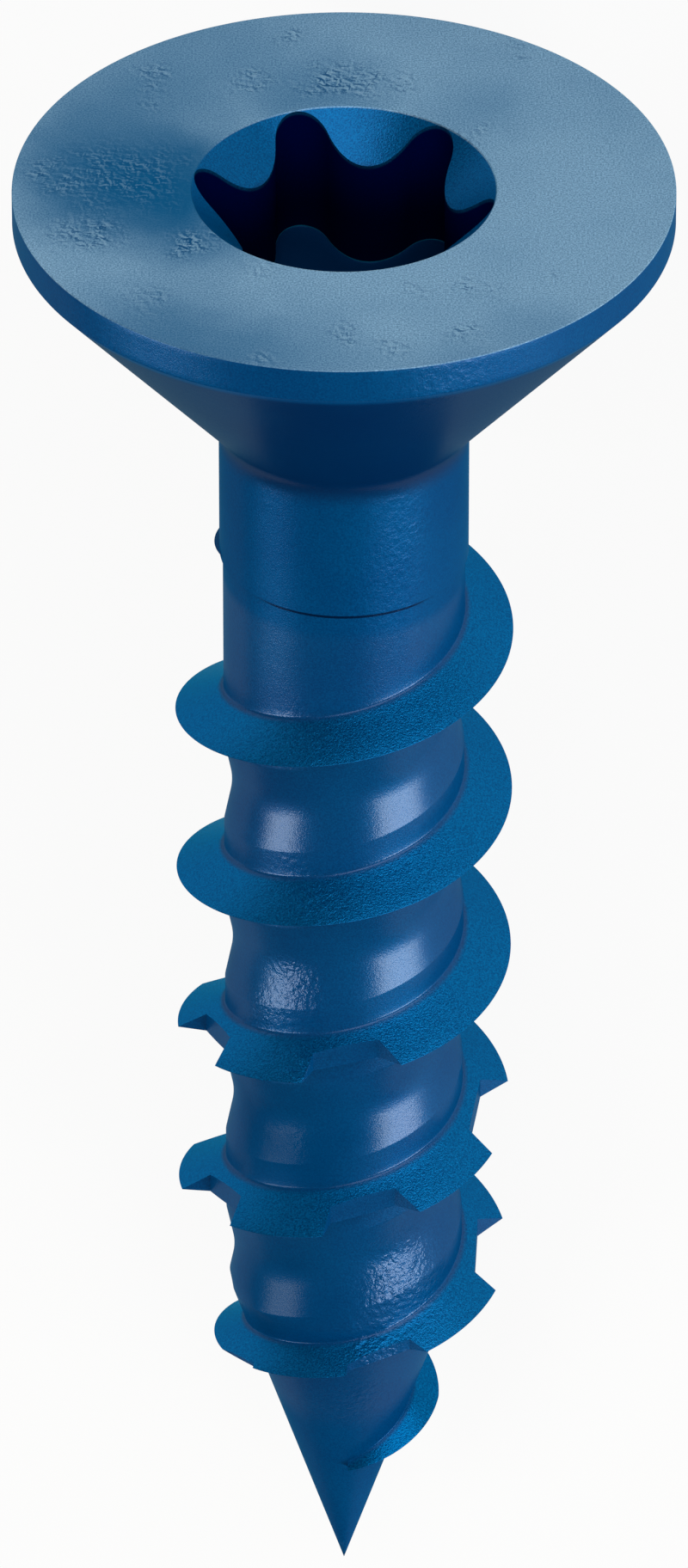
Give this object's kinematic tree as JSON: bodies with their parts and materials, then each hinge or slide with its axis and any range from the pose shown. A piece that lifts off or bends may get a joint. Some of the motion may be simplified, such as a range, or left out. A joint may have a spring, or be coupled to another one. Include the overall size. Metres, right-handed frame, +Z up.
{
  "type": "concrete screw",
  "caption": "Countersunk concrete screw with a six-lobe socket, a plain neck, a coarse thread with saw-toothed lower turns and a sharp cone tip, lying on its side.",
  "frame": {"origin": "middle of the footprint, at the height of the surface the screw lies on", "axes": "+X runs along the screw from head to tip, level with the surface, +Z is up, and +Y completes a right-handed frame. The screw's own axis dips from head to tip, because the head is wider than the thread."},
  "size_m": [0.0398, 0.015, 0.015],
  "materials": {
    "blue_lacquer": "gloss blue lacquer over steel, lightly grained"
  },
  "bodies": {
    "root": {"concrete_screw": "blue_lacquer"}
  },
  "joints": []
}
